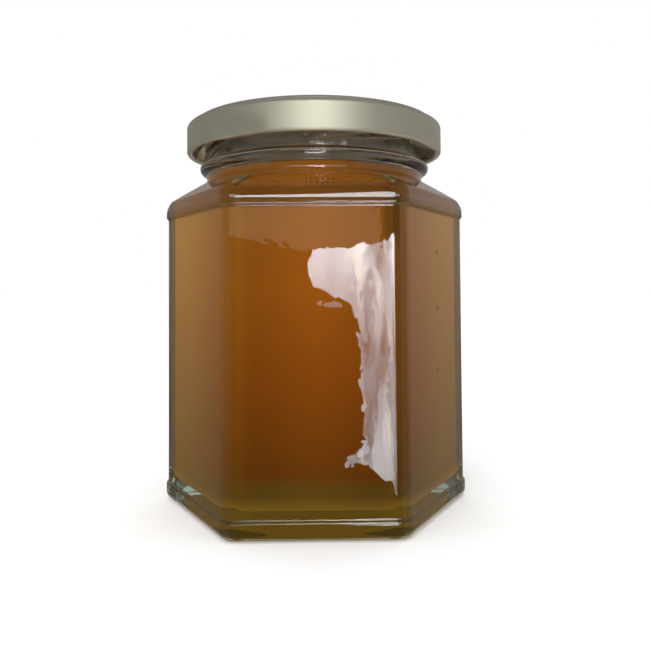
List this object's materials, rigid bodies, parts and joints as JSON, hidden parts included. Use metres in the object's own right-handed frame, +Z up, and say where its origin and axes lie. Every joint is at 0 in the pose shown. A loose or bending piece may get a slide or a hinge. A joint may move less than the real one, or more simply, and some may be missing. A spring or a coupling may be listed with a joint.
{
  "type": "honey jar",
  "caption": "Hexagonal clear glass jar with recessed flat panels and a rounded shoulder, filled with amber honey to the neck and closed with a gold twist cap.",
  "frame": {"origin": "centre of the base, on the surface the jar stands on", "axes": "+Z up through the cap, -Y out of the flat panel that faces forward, +X to the right of it through two upright corners"},
  "size_m": [0.0774, 0.068, 0.0965],
  "materials": {
    "clear_glass": "smooth, faintly green",
    "amber_honey": "clear, glossy liquid",
    "gold_lacquer": "satin champagne gold"
  },
  "bodies": {
    "root": {"jar": "clear_glass", "honey": "amber_honey", "lid": "gold_lacquer"}
  },
  "joints": []
}
